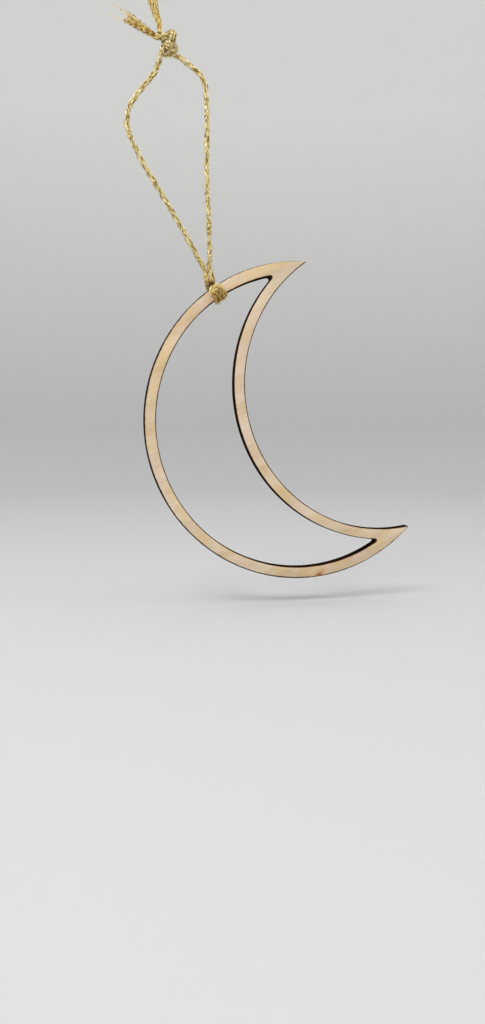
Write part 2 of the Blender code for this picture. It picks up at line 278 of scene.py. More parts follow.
def trefoil(angle, off):
    # A point of the open overhand knot, moved off its middle line square to the line's direction
    across = Vector((cos(angle) - 2 * cos(2 * angle), 0.0, -sin(angle) - 2 * sin(2 * angle)))
    middle = across * knot["size"] + Vector((0.0, -knot["depth"] * sin(3 * angle), 0.0))
    ahead = Vector((4 * sin(2 * angle) - sin(angle), 0.0, -cos(angle) - 4 * cos(2 * angle))) * knot["size"]
    ahead.y = -3 * knot["depth"] * cos(3 * angle)
    ahead.normalize()
    outward = Vector((0.0, 1.0, 0.0)) + across.normalized()
    outward -= ahead * outward.dot(ahead)
    return (Vector(knot["centre"]) + middle + outward.normalized() * off) * mm


def knotTurns(off):
    cut = radians(knot["cut"])
    angles = [pi + cut + (2 * pi - 2 * cut) * i / knot["points"] for i in range(knot["points"] + 1)]
    return [trefoil(a, off) for a in angles]


def legRoute(hand, route):
    side = Vector((spinAxis.z, 0.0, -spinAxis.x)) * hand * hitch["exitSpacing"] / 2 * mm
    foot = hitchExit + side
    return [foot, foot + spinAxis * cord["diameter"] * mm] + metres(route)


def hitchRun():
    bends = [hitch["exitBend"]] + [hitch["standOff"]] * 3 + [hitch["crossbarBend"]]
    corners = hitchCorners(-1) + hitchCorners(1)[::-1]
    return roundCorners(corners, [b * mm for b in bends + bends[::-1]])


def upwards(hand, leg, entry, leave, tail):
    # From the hitch up one leg, round the knot and out along the tail, and where each stretch starts
    off = hand * knot["pairSpacing"] / 2
    stretches = [legRoute(hand, leg), metres(entry) + knotTurns(off) + metres(leave), metres(tail)]
    route = smoothRoute(stretches[0] + stretches[1] + stretches[2], cord["step"] * mm)
    marks = [stretches[0][-1], stretches[1][-1]]
    return route, marks


def lengthsAlong(points):
    steps = np.linalg.norm(np.diff(points, axis=0), axis=1)
    return np.concatenate([[0.0], np.cumsum(steps)])


def evenly(points, step):
    # The same line with its points a step apart, eased over its corners
    run = lengthsAlong(points)
    places = np.linspace(0.0, run[-1], int(round(run[-1] / step)) + 1)
    line = np.stack([np.interp(places, run, points[:, i]) for i in range(3)], axis=1)
    for _ in range(3):
        line[1:-1] = (line[:-2] + line[1:-1] * 2 + line[2:]) / 4
    return line


def nearestIndex(line, point):
    return int(np.linalg.norm(line - np.array(point), axis=1).argmin())


leftRun, leftMarks = upwards(-1, leftLegRoute, knot["leftEntry"], knot["leftExit"], leftTailRoute)
rightRun, rightMarks = upwards(1, rightLegRoute, knot["rightEntry"], knot["rightExit"], rightTailRoute)
wholeRun = leftRun[::-1] + hitchRun()[1:-1] + rightRun
line = evenly(np.array([tuple(point) for point in wholeRun]), cord["step"] * mm)
run = lengthsAlong(line)
ahead = np.gradient(line, axis=0)
ahead /= np.linalg.norm(ahead, axis=1)[:, None]

stops = {
    "leftKnotEnd": nearestIndex(line, leftMarks[1]),
    "leftLegTop": nearestIndex(line, leftMarks[0]),
    "leftHitch": nearestIndex(line, leftRun[0]),
    "rightHitch": nearestIndex(line, rightRun[0]),
    "rightLegTop": nearestIndex(line, rightMarks[0]),
    "rightKnotEnd": nearestIndex(line, rightMarks[1]),
}
footPoints = int(footLength / cord["step"])
stops["leftFoot"] = stops["leftHitch"] - footPoints
stops["rightFoot"] = stops["rightHitch"] + footPoints
middle = (stops["leftHitch"] + stops["rightHitch"]) // 2


def carriedAcross(start, first):
    # Directions square to the line, carried along it both ways from one place without twisting
    across = np.zeros_like(line)
    across[start] = first - ahead[start] * (first @ ahead[start])
    for order in (range(start + 1, len(line)), range(start - 1, -1, -1)):
        last = across[start]
        for i in order:
            last = last - ahead[i] * (last @ ahead[i])
            last = last / np.linalg.norm(last)
            across[i] = last
    across[start] /= np.linalg.norm(across[start])
    return across


thick = carriedAcross(middle, np.array((0.0, 1.0, 0.0)))  # through a flattened strand of the hitch
wide = np.cross(ahead, thick)  # and across it


def eased(value):
    value = np.clip(value, 0.0, 1.0)
    return value * value * (3 - 2 * value)


ramp = hitch["ramp"] * mm
inHitch = eased((run - run[stops["leftHitch"]]) / ramp) * eased((run[stops["rightHitch"]] - run) / ramp)
inKnot = np.zeros(len(line))
for low, high in (("leftKnotEnd", "leftLegTop"), ("rightLegTop", "rightKnotEnd")):
    inKnot += eased((run - run[stops[low]]) / ramp) * eased((run[stops[high]] - run) / ramp)
inFront = eased(-line[:, 1] / mm - hitch["frontStart"])  # the strands on the moon's front lie wider
widening = hitch["backWiden"] - 1 + (hitch["widen"] - hitch["backWiden"]) * inFront
widths = (1 + widening * inHitch) * (1 - (1 - knot["tighten"]) * inKnot)
depths = (1 + (hitch["flatten"] - 1) * inHitch) * (1 - (1 - knot["tighten"]) * inKnot)
fromCentre = np.linalg.norm((line - np.array(moonCentre))[:, [0, 2]], axis=1) / mm
inset = sheet["outerRadius"] - fromCentre  # how far inside the moon's outer edge
# Painted light in the hitch's colour: the crossbar on the moon's front gets a painted highlight, and the
# wraps inside the band below it get painted shade, both added to the strands' tone
inBand = eased(inset - hitch["paintedShadeStart"])  # below the crossbar, which catches the light
hitchPaintedLight = hitch["paintedLightDepth"] * inHitch * (inFront * (1 - inBand) - inBand)
print(f"Cord's line: {run[-1] / mm:.1f} mm from end to end")


def waves(random, name):
    # A smooth wander along the cord, as a sum of four waves with random lengths and phases
    total = np.zeros(len(line))
    for _ in range(4):
        wavelength = random.uniform(*cord[name + "Waves"]) * mm
        total += np.sin(run * 2 * pi / wavelength + random.uniform(0.0, 2 * pi))
    return total * cord[name + "Wander"] / 2


def strandLines(random):
    # Every strand of the cord as offsets across it, in millimetres, and its shade along it
    made = []
    for ply in range(cord["plies"]):
        plyAngle = 2 * pi * (run / (cord["lay"] * mm) + ply / cord["plies"])
        plyAngle = plyAngle + waves(random, "twist")
        for number in range(cord["strandsPerPly"]):
            own = -2 * pi * (run / (cord["strandLay"] * mm) + number / cord["strandsPerPly"])
            own = own + waves(random, "strand")
            out = cord["strandOffset"] + waves(random, "out")
            x = cord["plyOffset"] * np.cos(plyAngle) + out * np.cos(own)
            y = cord["plyOffset"] * np.sin(plyAngle) + out * np.sin(own)
            tone = cord["tone"] + random.uniform(-cord["toneSpread"], cord["toneSpread"])
            tone = tone + waves(random, "tone")
            made.append((x, y, tone))
    return made


def sweep(strands, sides):
    # A closed tube along each strand: (points, radii, a direction across it, shade at each point)
    corners, faces, tones = [], [], []
    angles = np.arange(sides) * 2 * pi / sides
    for points, radii, across, tone in strands:
        direction = np.gradient(points, axis=0)
        direction /= np.linalg.norm(direction, axis=1)[:, None]
        up = across - direction * (across * direction).sum(1)[:, None]
        up /= np.linalg.norm(up, axis=1)[:, None]
        side = np.cross(direction, up)
        ring = up[:, None, :] * np.cos(angles)[None, :, None]
        ring = ring + side[:, None, :] * np.sin(angles)[None, :, None]
        base = sum(len(c) for c in corners)
        corners.append((points[:, None, :] + ring * radii[:, None, None]).reshape(-1, 3))
        tones.append(np.repeat(tone, sides))
        starts = base + np.arange(len(points) - 1)[:, None] * sides
        here, there = np.arange(sides)[None, :], (np.arange(sides)[None, :] + 1) % sides
        near, far = [starts + here, starts + there], [starts + sides + there, starts + sides + here]
        quads = np.stack(near + far, axis=2)
        faces += quads.reshape(-1, 4).tolist()
        faces.append([base + k for k in reversed(range(sides))])
        faces.append([base + (len(points) - 1) * sides + k for k in range(sides)])
    return np.concatenate(corners), faces, np.concatenate(tones)


def strandPiece(name, groups, surface):
    # One mesh from several groups of swept strands, each group with its own number of sides
    mesh = bpy.data.meshes.new(name)
    corners, faces, tones = [], [], []
    for strands, sides in groups:
        base = sum(len(c) for c in corners)
        points, rings, shades = sweep(strands, sides)
        corners.append(points)
        faces += [[base + v for v in face] for face in rings]
        tones.append(shades)
    mesh.from_pydata(np.concatenate(corners).tolist(), [], faces)
    mesh.attributes.new("tone", "FLOAT", "POINT").data.foreach_set("value", np.concatenate(tones))
    mesh.shade_smooth()
    mesh.materials.append(surface)
    piece = bpy.data.objects.new(name, mesh)
    bpy.context.scene.collection.objects.link(piece)
    return piece


strandSet = strandLines(Random(3))


def cordStrands(low, high):
    part = slice(low, high + 1)
    made = []
    for x, y, tone in strandSet:
        offset = wide[part] * (x[part] * widths[part] * mm)[:, None]
        offset = offset + thick[part] * (y[part] * depths[part] * mm)[:, None]
        radii = cord["strandRadius"] * mm * np.sqrt(widths[part] * depths[part])
        # Each strand's own tone, plus the hitch's painted highlight and painted shade
        made.append((line[part] + offset, radii, offset, tone[part] + hitchPaintedLight[part]))
    return made


# Stray ends of film that stand off the cord. Real ones are about 0.03 mm thick, drawn coarser to show.
# The feet above the hitch have more of them to the millimetre than the legs, and the hitch has most, less
# those that would lean into the wood
fuzz = {
    "thickness": 0.09, "reach": (0.3, 0.85), "inLegs": 4.0, "inFeet": 14.0, "inHitch": 45.0, "points": 6,
    "sides": 3, "rootDepth": 0.55, "along": 1.6, "outward": (0.5, 1.1), "aside": 0.5, "offWood": 0.05,
    "curl": 0.35, "taper": 0.6, "skew": 0.01, "tone": (0.3, 1.0),
}


def strayEnds(low, high, perMillimetre, random, inward=None):
    count = int((run[high] - run[low]) / mm * perMillimetre)
    along, aside = fuzz["along"], fuzz["aside"]
    made = []
    for _ in range(count):
        i = random.randint(low, high)
        angle = random.uniform(0.0, 2 * pi)
        outward = wide[i] * cos(angle) + thick[i] * sin(angle)
        edge = wide[i] * cos(angle) * widths[i] + thick[i] * sin(angle) * depths[i]
        root = line[i] + edge * fuzz["rootDepth"] * mm
        lean = ahead[i] * random.uniform(-along, along) + outward * random.uniform(*fuzz["outward"])
        lean = lean + wide[i] * random.uniform(-aside, aside) + thick[i] * random.uniform(-aside, aside)
        lean = lean / np.linalg.norm(lean)
        if inward is not None and lean @ inward[i] > -fuzz["offWood"]:
            continue
        reach = random.uniform(*fuzz["reach"]) * mm
        part = np.linspace(0.0, 1.0, fuzz["points"])[:, None]
        curl = np.array([random.uniform(-1.0, 1.0) for _ in range(3)]) * fuzz["curl"] * reach
        points = root + lean * reach * part + curl * part**2
        radii = fuzz["thickness"] / 2 * mm * (1 - fuzz["taper"] * part[:, 0])
        across = np.tile(outward + ahead[i] * fuzz["skew"], (fuzz["points"], 1))
        made.append((points, radii, across, np.full(fuzz["points"], random.uniform(*fuzz["tone"]))))
    return made


def cordPiece(name, start, end, perMillimetre, seed, inward=None, surface=goldYarn):
    # The cord's strands and stray ends between two of its stops
    low, high = stops[start], stops[end]
    strands = cordStrands(low, high)
    ends = strayEnds(low, high, perMillimetre, Random(seed), inward)
    piece = strandPiece(name, [(strands, cord["strandSides"]), (ends, fuzz["sides"])], surface)
    return piece


def towardsBand():
    # From each point of the hitch, the way to the wood that it is wound round
    centre = np.array(onBand(0.0, -sheet["outerBand"] / 2, 0.0))
    along = np.array(onBand(1.0, 0.0, 0.0) - onBand(0.0, 0.0, 0.0))
    along /= np.linalg.norm(along)
    away = centre - line
    away = away - along * (away @ along)[:, None]
    return away / np.linalg.norm(away, axis=1)[:, None]


leftLeg = cordPiece("left_leg_yarn", "leftLegTop", "leftFoot", fuzz["inLegs"], 11)
rightLeg = cordPiece("right_leg_yarn", "rightFoot", "rightLegTop", fuzz["inLegs"], 12)
leftFoot = cordPiece("left_foot_yarn", "leftFoot", "leftHitch", fuzz["inFeet"], 13)
rightFoot = cordPiece("right_foot_yarn", "rightHitch", "rightFoot", fuzz["inFeet"], 14)
hitchYarn = cordPiece(
    "hitch_yarn", "leftHitch", "rightHitch", fuzz["inHitch"], 15, towardsBand(), woundYarnPaintedBounce,
)
leftKnot = cordPiece("left_knot_yarn", "leftKnotEnd", "leftLegTop", fuzz["inLegs"], 16)
rightKnot = cordPiece("right_knot_yarn", "rightLegTop", "rightKnotEnd", fuzz["inLegs"], 17)
print("Cord's strands laid")


# Frayed ends: the yarn opened into loose, crimped film past the knot
tail = {
    "strands": 52, "strays": 5, "points": 60, "sides": 5, "film": 0.17, "taper": 0.35, "lead": 0.8,
    "rootRadius": 0.66, "leftFlare": 1.75, "rightFlare": 1.75, "flareCurve": 1.4, "strayFlare": 1.5,
    "twist": 2.2, "lengths": (0.8, 1.0), "strayReach": 1.35, "crimp": 0.13, "crimpLengths": (1.0, 2.2),
    "crimpShares": (0.4, 1.0), "crimpAtRoot": 0.3, "tone": 0.45, "toneSpread": (-0.3, 0.35),
    "toneWave": 0.2, "toneTurns": (20.0, 50.0),
}
frayedFilm = goldFilm(
    "frayedGoldFilm",  # opened out, the film shows more of its own yellow
    {**film, "shade": "8F6412", "body": "FBD66A", "bright": "FFF4BC", "fleckContrast": 1.4},
)


def crimpWave(part, reach, random):
    # One strand's zigzag to one side, wider towards its end
    wavelength = random.uniform(*tail["crimpLengths"]) * mm
    phase = random.uniform(0.0, 2 * pi)
    size = tail["crimp"] * random.uniform(*tail["crimpShares"])
    return np.sin(part * reach / wavelength * 2 * pi + phase) * size * (tail["crimpAtRoot"] + part)


def frayedTail(name, low, high, flare, random):
    # low and high are places on the cord's line, given from the knot to the tail's end
    step = 1 if high > low else -1
    order = np.arange(low, high + step, step)
    places = np.linspace(0, len(order) - 1, tail["points"])
    base = np.stack([np.interp(places, np.arange(len(order)), line[order, k]) for k in range(3)], axis=1)
    east = np.stack([np.interp(places, np.arange(len(order)), wide[order, k]) for k in range(3)], axis=1)
    north = np.stack([np.interp(places, np.arange(len(order)), thick[order, k]) for k in range(3)], axis=1)
    part = np.linspace(0.0, 1.0, tail["points"])
    reach = np.linalg.norm(base[-1] - base[0])
    forward = (base[-1] - base[-4]) / np.linalg.norm(base[-1] - base[-4])
    made = []
    for number in range(tail["strands"] + tail["strays"]):
        stray = number >= tail["strands"]
        angle = random.uniform(0.0, 2 * pi)
        share = random.uniform(0.0, 1.0) ** 0.5  # as many strands in each part of the round section
        length = tail["strayReach"] if stray else random.uniform(*tail["lengths"])
        opening = (flare - tail["rootRadius"]) * part ** tail["flareCurve"]
        spread = tail["rootRadius"] + opening * (tail["strayFlare"] if stray else 1.0)
        turn = angle - tail["twist"] * np.sqrt(part)
        x = spread * share * np.cos(turn) + crimpWave(part, reach, random)
        y = spread * share * np.sin(turn) + crimpWave(part, reach, random)
        points = base + east * (x * mm)[:, None] + north * (y * mm)[:, None]
        if stray:
            points = points + forward * (part**2 * (length - 1) * reach)[:, None]
            radii = np.full(tail["points"], fuzz["thickness"] / 2 * mm)
        else:
            kept = part * length
            points = np.stack([np.interp(kept, part, points[:, k]) for k in range(3)], axis=1)
            radii = tail["film"] / 2 * mm * (1 - tail["taper"] * part**3)
        across = east * np.cos(turn)[:, None] + north * np.sin(turn)[:, None]
        tone = tail["tone"] + random.uniform(*tail["toneSpread"])
        tone = tone + tail["toneWave"] * np.sin(part * random.uniform(*tail["toneTurns"]))
        made.append((points, radii, across, tone))
    piece = strandPiece(name, [(made, tail["sides"])], frayedFilm)
    return piece


lead = int(tail["lead"] / cord["step"])  # each tail starts this far inside the knot
leftRoot, rightRoot = stops["leftKnotEnd"] + lead, stops["rightKnotEnd"] - lead
leftTail = frayedTail("left_tail_film", leftRoot, 0, tail["leftFlare"], Random(21))
rightTail = frayedTail("right_tail_film", rightRoot, len(line) - 1, tail["rightFlare"], Random(22))

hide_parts("left_leg")
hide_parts("right_leg")
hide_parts("lark_head_hitch")
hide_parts("overhand_knot")
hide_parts("overhand_knot")
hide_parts("left_tail")
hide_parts("right_tail")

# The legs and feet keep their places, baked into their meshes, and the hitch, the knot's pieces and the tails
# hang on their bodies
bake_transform(leftLeg)
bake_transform(rightLeg)
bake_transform(leftFoot)
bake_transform(rightFoot)
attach(hitchYarn, "hitch")
for piece in (leftKnot, rightKnot, leftTail, rightTail):
    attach(piece, "tied_end")

print("Cord hung on its bodies")


# Plywood: three plies, each the outer disc less the hollow disc, with the opening cut through. "lip" is
# the charred rim left outside the pale face's outline, and "tipLip" what is left of it past the points
plies = {
    "lip": 0.18, "tipLip": 0.1, "coreRecess": 0.04, "edgeBreak": 0.05, "breakSteps": 2, "breakAngle": 50.0,
    "smoothAngle": 30.0, "faceNormal": 0.95, "arcPoints": 320, "cornerPoints": 32, "cornerReach": 4.0,
}


def inMoonFrame(tree):
    # Object coordinates moved to the outer circle's centre, turned with the moon, in millimetres
    place = addNode(tree, "ShaderNodeTexCoord")
    return addNode(
        tree, "ShaderNodeMapping",
        {"Location": moonCentre, "Rotation": (0.0, moonTilt, 0.0), "Scale": (mm, mm, mm)},
        {"Vector": place.outputs["Object"]}, vector_type="TEXTURE",
    )


def crossing(radius, hollowRadius):
    # Where a circle about the outer centre meets one about the hollow's centre, as (x, z)
    offset = sheet["hollowOffset"]
    x = (radius**2 - hollowRadius**2 + offset**2) / (2 * offset)
    return Vector((x, sqrt(radius**2 - x**2)))


def openingRadii(recess=0.0):
    # The opening's outer arc, and its arc beside the hollow
    radius = sheet["outerRadius"] - sheet["outerBand"] + recess
    return radius, sheet["hollowRadius"] + sheet["hollowBand"] - recess


def openingCorner(recess=0.0):
    # The sharp corner that the opening's two arcs would meet in, and the centre of its round end
    turn = sheet["cornerRadius"]
    radius, hollowRadius = openingRadii(recess)
    return crossing(radius, hollowRadius), crossing(radius - turn, hollowRadius + turn)


def circleDistance(tree, local, centreX):
    # How far a point lies from an axis through (centreX, 0, 0), seen from the front
    moved = addNode(tree, "ShaderNodeVectorMath", {1: (centreX, 0.0, 0.0)}, {0: local}, operation="SUBTRACT")
    flat = addNode(tree, "ShaderNodeVectorMath", {1: (1.0, 0.0, 1.0)}, {0: moved}, operation="MULTIPLY")
    return addNode(tree, "ShaderNodeVectorMath", links={0: flat}, operation="LENGTH").outputs["Value"]


def pastCorner(tree, local, nearest):
    # The distance from the opening's arcs, or from its round end where a point lies past that end
    sharp, centre = openingCorner()
    out = (sharp - centre).normalized()
    parts = addNode(tree, "ShaderNodeSeparateXYZ", links={0: local})
    above = addNode(tree, "ShaderNodeMath", links={0: parts.outputs["Z"]}, operation="ABSOLUTE")
    folded = addNode(tree, "ShaderNodeCombineXYZ", links={"X": parts.outputs["X"], "Z": above})
    gap = addNode(
        tree, "ShaderNodeVectorMath", {1: (centre.x, 0.0, centre.y)}, {0: folded}, operation="SUBTRACT",
    )
    far = addNode(tree, "ShaderNodeVectorMath", links={0: gap}, operation="LENGTH").outputs["Value"]
    outward = addNode(
        tree, "ShaderNodeVectorMath", {1: (out.x, 0.0, out.y)}, {0: gap}, operation="DOT_PRODUCT",
    ).outputs["Value"]
    reach = addNode(
        tree, "ShaderNodeMath", {1: sheet["cornerRadius"] / (sharp - centre).length}, {0: far},
        operation="MULTIPLY",
    )
    past = addNode(tree, "ShaderNodeMath", links={0: outward, 1: reach}, operation="GREATER_THAN")
    fromEnd = addNode(tree, "ShaderNodeMath", {1: sheet["cornerRadius"]}, {0: far}, operation="SUBTRACT")
    chosen = addNode(tree, "ShaderNodeMix", links={0: past, 2: nearest, 3: fromEnd}, data_type="FLOAT")
    return chosen.outputs[0]


def cutDistance(tree, local):
    # How far a point of the face lies from the nearest laser-cut edge, taken as further where the scorched
    # line is fainter: towards the outer edge's tips, the upper one most, and along the inner edges
    outer = circleDistance(tree, local, 0.0)
    hollow = circleDistance(tree, local, sheet["hollowOffset"])
    radius, hollowRadius = openingRadii()
    insideOuter = addNode(
        tree, "ShaderNodeMath", {0: sheet["outerRadius"]}, {1: outer}, operation="SUBTRACT",
    )
    towardsTips = addNode(
        tree, "ShaderNodeVectorMath", {1: rim["fadeAlong"]}, {0: local}, operation="DOT_PRODUCT",
    )
    paler = addNode(
        tree, "ShaderNodeMapRange",
        {"From Min": rim["fadeStart"], "From Max": rim["fadeEnd"], "To Max": rim["fade"]},
        {"Value": towardsTips.outputs["Value"]},
    )
    fromOuter = addNode(tree, "ShaderNodeMath", links={0: insideOuter, 1: paler}, operation="ADD")
    fromHollow = addNode(
        tree, "ShaderNodeMath", {1: sheet["hollowRadius"]}, {0: hollow}, operation="SUBTRACT",
    )
    beyondBand = addNode(tree, "ShaderNodeMath", {1: radius}, {0: outer}, operation="SUBTRACT")
    insideBand = addNode(tree, "ShaderNodeMath", {0: hollowRadius}, {1: hollow}, operation="SUBTRACT")
    fromArcs = addNode(tree, "ShaderNodeMath", links={0: beyondBand, 1: insideBand}, operation="MAXIMUM")
    fromOpening = pastCorner(tree, local, fromArcs)
    inner = addNode(tree, "ShaderNodeMath", links={0: fromHollow, 1: fromOpening}, operation="MINIMUM")
    fromInner = addNode(tree, "ShaderNodeMath", {1: rim["innerShare"]}, {0: inner}, operation="MULTIPLY")
    return addNode(tree, "ShaderNodeMath", links={0: fromOuter, 1: fromInner}, operation="MINIMUM")


# Birch veneer, sanded and left bare: pale, with faint long streaks and a scorched line along each cut
birch = {
    "pale": "EDDDC4", "warm": "D6B98F", "paleAt": 0.5, "warmAt": 0.93, "streakLength": 14.0,
    "streakWidth": 0.45, "streakShare": 0.45, "bandLength": 40.0, "bandWidth": 5.0,
    "pink": "E7CDBC", "honey": "E4C692", "pinkAt": 0.66, "honeyAt": 0.34, "mottleShare": 0.6,
    "mottleSize": 6.0, "roughness": 0.66, "specular": 0.2, "bump": 0.35, "bumpHeight": 0.03,
}

# The scorched line, from brown to char. A fine and a slow noise shift its edge, with so many waves to the
# millimetre, and the outer one fades from "fadeStart" to "fadeEnd" towards the tips
rim = {
    "brown": "74451F", "char": "301407", "brownAt": 0.15, "charAt": 0.7, "start": 0.02, "width": 0.24,
    "innerShare": 2.0, "fadeAlong": (1.0, 0.0, 0.15), "fadeStart": -15.0, "fadeEnd": 26.0, "fade": 0.28,
    "wander": 0.3, "fineScale": 1.1, "slowScale": 0.12,
}

# Toasted marks by the outer edge, where the beam dwelt
toasts = [
    {"angle": 253.8, "radius": 44.8, "size": 1.2, "stretch": 0.55, "strength": 0.95, "colour": "96551E"},
    {"angle": 255.2, "radius": 43.8, "size": 1.2, "stretch": 0.6, "strength": 0.5, "colour": "C98F48"},
]


def stretched(tree, local, length, width):
    # Local coordinates scaled so that a noise is long along the grain and narrow across it
    scale = (1 / length, 1 / width, 1 / width)
    return addNode(tree, "ShaderNodeVectorMath", {1: scale}, {0: local}, operation="MULTIPLY")


def birchGrain(tree, local):
    # Streaks and broad bands along the grain, and a slight mottle of pink and honey over them
    streakPlace = stretched(tree, local, birch["streakLength"], birch["streakWidth"])
    bandPlace = stretched(tree, local, birch["bandLength"], birch["bandWidth"])
    streaks = addNode(
        tree, "ShaderNodeTexNoise", {"Scale": 1.0, "Detail": 5.0, "Roughness": 0.6}, {"Vector": streakPlace},
    )
    bands = addNode(
        tree, "ShaderNodeTexNoise", {"Scale": 1.0, "Detail": 3.0, "Distortion": 0.4}, {"Vector": bandPlace},
    )
    grain = addNode(
        tree, "ShaderNodeMath", {1: birch["streakShare"]}, {0: streaks, 2: bands}, operation="MULTIPLY_ADD",
    )
    wood = addNode(tree, "ShaderNodeValToRGB", links={0: grain})
    setRamp(wood, [(birch[stop + "At"], birch[stop]) for stop in ("pale", "warm")])
    mottle = addNode(
        tree, "ShaderNodeTexNoise", {"Scale": 1 / birch["mottleSize"], "Detail": 3.0}, {"Vector": local},
    )
    tinted = wood.outputs["Color"]
    for colour in ("pink", "honey"):
        share = addNode(
            tree, "ShaderNodeMapRange",
            {"From Min": noiseMean, "From Max": birch[colour + "At"], "To Max": birch["mottleShare"]},
            {"Value": mottle},
        )
        tinted = addNode(
            tree, "ShaderNodeMix", {7: hexColour(birch[colour])}, {0: share, 6: tinted}, data_type="RGBA",
        ).outputs[2]
    return tinted, streaks


def scorchedRim(tree, local, wood):
    # Brown to black in the last fraction of a millimetre before a cut, wider in some places than others
    fine = addNode(tree, "ShaderNodeTexNoise", {"Scale": rim["fineScale"], "Detail": 3.0}, {"Vector": local})
    slow = addNode(tree, "ShaderNodeTexNoise", {"Scale": rim["slowScale"], "Detail": 1.0}, {"Vector": local})
    both = addNode(tree, "ShaderNodeMath", links={0: fine, 1: slow}, operation="ADD")
    shift = addNode(tree, "ShaderNodeMath", {1: 2 * noiseMean}, {0: both}, operation="SUBTRACT")
    depth = addNode(
        tree, "ShaderNodeMath", {1: rim["wander"]}, {0: shift, 2: cutDistance(tree, local)},
        operation="MULTIPLY_ADD",
    )
    scorch = addNode(
        tree, "ShaderNodeMapRange",
        {"From Min": rim["start"], "From Max": rim["width"], "To Min": 1.0, "To Max": 0.0},
        {"Value": depth}, interpolation_type="SMOOTHSTEP",
    )
    burnt = addNode(tree, "ShaderNodeValToRGB", links={0: scorch})
    setRamp(burnt, [(rim[stop + "At"], rim[stop]) for stop in ("brown", "char")])
    return addNode(tree, "ShaderNodeMix", links={0: scorch, 6: wood, 7: burnt}, data_type="RGBA").outputs[2]


def toastedSpot(tree, local, wood, mark):
    angle = radians(mark["angle"])
    spot = (mark["radius"] * cos(angle), 0.0, mark["radius"] * sin(angle))
    gap = addNode(tree, "ShaderNodeVectorMath", {1: spot}, {0: local}, operation="SUBTRACT")
    flat = addNode(
        tree, "ShaderNodeVectorMath", {1: (mark["stretch"], 0.0, 1.0)}, {0: gap}, operation="MULTIPLY",
    )
    far = addNode(tree, "ShaderNodeVectorMath", links={0: flat}, operation="LENGTH").outputs["Value"]
    toast = addNode(
        tree, "ShaderNodeMapRange",
        {"From Max": mark["size"], "To Min": mark["strength"], "To Max": 0.0},
        {"Value": far}, interpolation_type="SMOOTHERSTEP",
    )
    toasted = addNode(
        tree, "ShaderNodeMix", {7: hexColour(mark["colour"])}, {0: toast, 6: wood}, data_type="RGBA",
    )
    return toasted.outputs[2]


def birchVeneer():
    made, tree, shader = newMaterial("sandedBirchVeneer")
    local = inMoonFrame(tree)
    wood, streaks = birchGrain(tree, local)
    colour = scorchedRim(tree, local, wood)
    for mark in toasts:
        colour = toastedSpot(tree, local, colour, mark)
    bump = addNode(
        tree, "ShaderNodeBump", {"Strength": birch["bump"], "Distance": birch["bumpHeight"] * mm},
        {"Height": streaks},
    )
    tree.links.new(colour, shader.inputs["Base Color"])
    tree.links.new(bump.outputs["Normal"], shader.inputs["Normal"])
    shader.inputs["Roughness"].default_value = birch["roughness"]
    shader.inputs["Specular IOR Level"].default_value = birch["specular"]
    return made


# Laser-cut edge: charred nearly black, with fine lines through the thickness where the beam stepped on
edge = {
    "soot": "190A04", "brown": "442812", "coreSoot": "0A0604", "coreBrown": "241912", "sootAt": 0.6,
    "brownAt": 1.0, "lineWidth": 0.22, "lineLength": 2.5, "patchSize": 4.0, "patchShare": 0.6,
    "roughness": 0.85, "specular": 0.0, "bump": 0.5, "bumpHeight": 0.04,
}


def charredEdge(name, soot, brown):
    made, tree, shader = newMaterial(name)
    local = inMoonFrame(tree)
    lineScale = (1 / edge["lineWidth"], 1 / edge["lineLength"], 1 / edge["lineWidth"])
    linePlace = addNode(tree, "ShaderNodeVectorMath", {1: lineScale}, {0: local}, operation="MULTIPLY")
    lines = addNode(tree, "ShaderNodeTexNoise", {"Scale": 1.0, "Detail": 2.0}, {"Vector": linePlace})
    patches = addNode(
        tree, "ShaderNodeTexNoise", {"Scale": 1 / edge["patchSize"], "Detail": 2.0}, {"Vector": local},
    )
    depth = addNode(
        tree, "ShaderNodeMath", {1: edge["patchShare"]}, {0: patches, 2: lines}, operation="MULTIPLY_ADD",
    )
    colour = addNode(tree, "ShaderNodeValToRGB", links={0: depth})
    setRamp(colour, [(edge["sootAt"], soot), (edge["brownAt"], brown)])
    bump = addNode(
        tree, "ShaderNodeBump", {"Strength": edge["bump"], "Distance": edge["bumpHeight"] * mm},
        {"Height": lines},
    )
    tree.links.new(colour.outputs["Color"], shader.inputs["Base Color"])
    tree.links.new(bump.outputs["Normal"], shader.inputs["Normal"])
    shader.inputs["Roughness"].default_value = edge["roughness"]
    shader.inputs["Specular IOR Level"].default_value = edge["specular"]
    return made


veneerFace = birchVeneer()
veneerEdge = charredEdge("laserCharredVeneerEdge", edge["soot"], edge["brown"])
coreEdge = charredEdge("laserCharredCoreEdge", edge["coreSoot"], edge["coreBrown"])


def addDisc(name, radius, centre, depth, points):
    # A disc in the XZ plane, its centre given as (x, z)
    bpy.ops.object.select_all(action="DESELECT")
    bpy.ops.mesh.primitive_cylinder_add(
        vertices=points, radius=radius * mm, depth=depth * mm,
        location=(centre[0] * mm, 0.0, centre[1] * mm), rotation=(pi / 2, 0.0, 0.0),
    )
    disc = bpy.context.object
    disc.name = name
    bpy.ops.object.transform_apply(location=True, rotation=True, scale=True)
    return disc


def combine(piece, other, operation):
    # Cuts the other solid from the piece or joins it on, and removes the other
    bpy.context.view_layer.objects.active = piece
    change = piece.modifiers.new("change", "BOOLEAN")
    change.operation = operation
    change.solver = "EXACT"
    change.object = other
    bpy.ops.object.modifier_apply(modifier="change")
    bpy.data.objects.remove(other, do_unlink=True)


